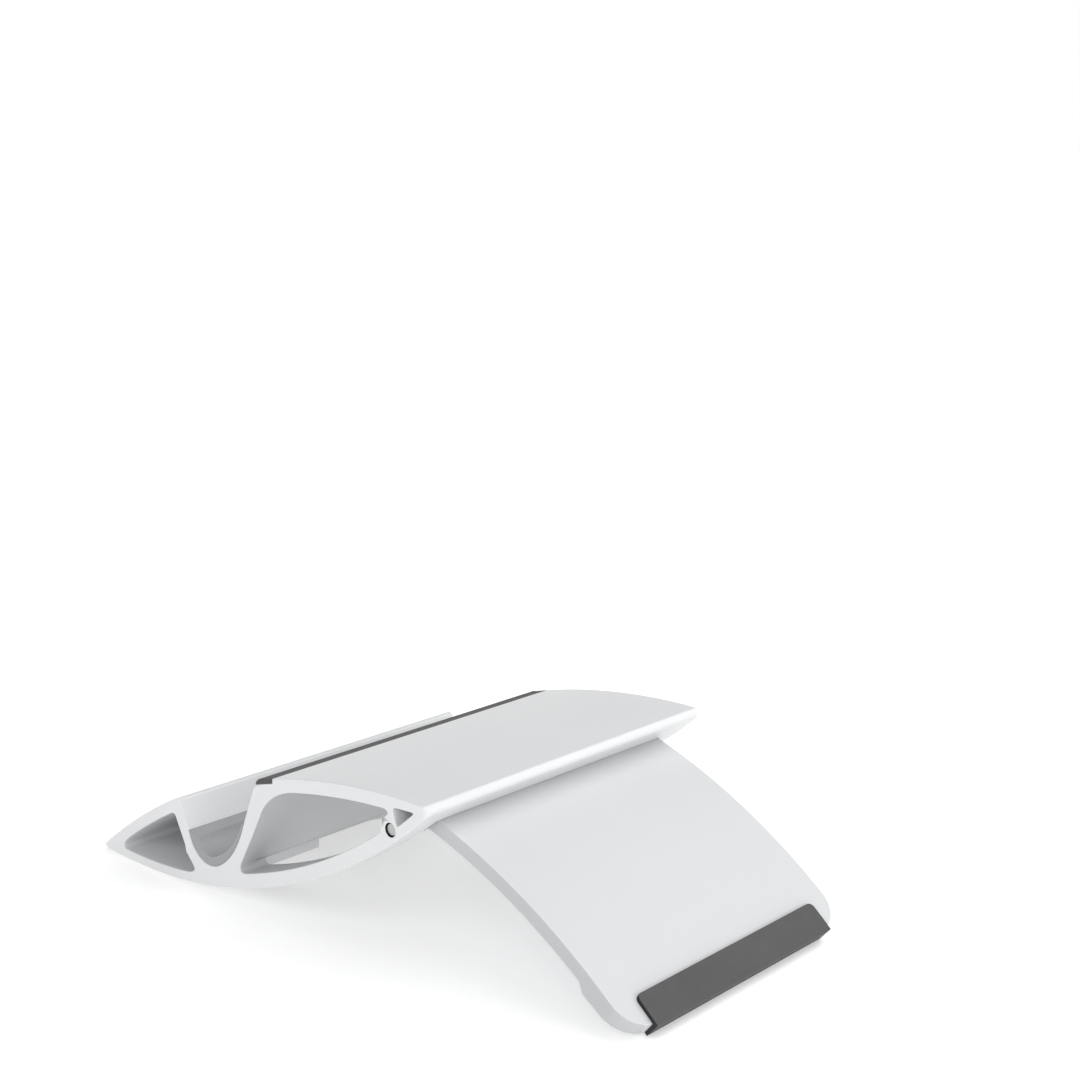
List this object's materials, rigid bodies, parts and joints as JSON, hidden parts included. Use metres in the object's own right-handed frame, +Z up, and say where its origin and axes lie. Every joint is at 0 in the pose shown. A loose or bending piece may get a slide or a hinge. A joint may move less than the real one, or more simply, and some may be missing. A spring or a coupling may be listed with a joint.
{
  "type": "tablet stand",
  "caption": "Lens-shaped metal desk stand with a lined trough for a tablet's edge and a curved leg that folds into its underside.",
  "frame": {"origin": "centre of the bounding box at its bottom, on the table top, with the leg open", "axes": "+X across the stand, -Y towards the low front nose, +Y towards the open leg's foot, +Z up"},
  "size_m": [0.082, 0.148, 0.0361],
  "materials": {
    "body_paint": "satin white powder paint",
    "leg_paint": "satin white powder paint",
    "pin_steel": "turned",
    "bush_plastic": "moulded",
    "washer_steel": "pressed",
    "liner_rubber": "matt silicone",
    "strip_rubber": "matt",
    "pad_rubber": "matt",
    "base_rubber": "matt"
  },
  "bodies": {
    "stand": {"body": "body_paint", "hinge_pin": "pin_steel", "thrust_washer_left": "washer_steel", "thrust_washer_right": "washer_steel", "trough_liner": "liner_rubber", "top_strip": "strip_rubber", "base_strip": "base_rubber"},
    "swing_leg": {"leg": "leg_paint", "hinge_bush_left": "bush_plastic", "hinge_bush_right": "bush_plastic", "foot_pad": "pad_rubber"}
  },
  "joints": [
    {"name": "leg_fold", "type": "hinge", "parent": "stand", "child": "swing_leg", "pos_m": [0, 0.02012, 0.02923], "axis": [-1, 0, 0], "range_deg": [0, 126.6]}
  ]
}
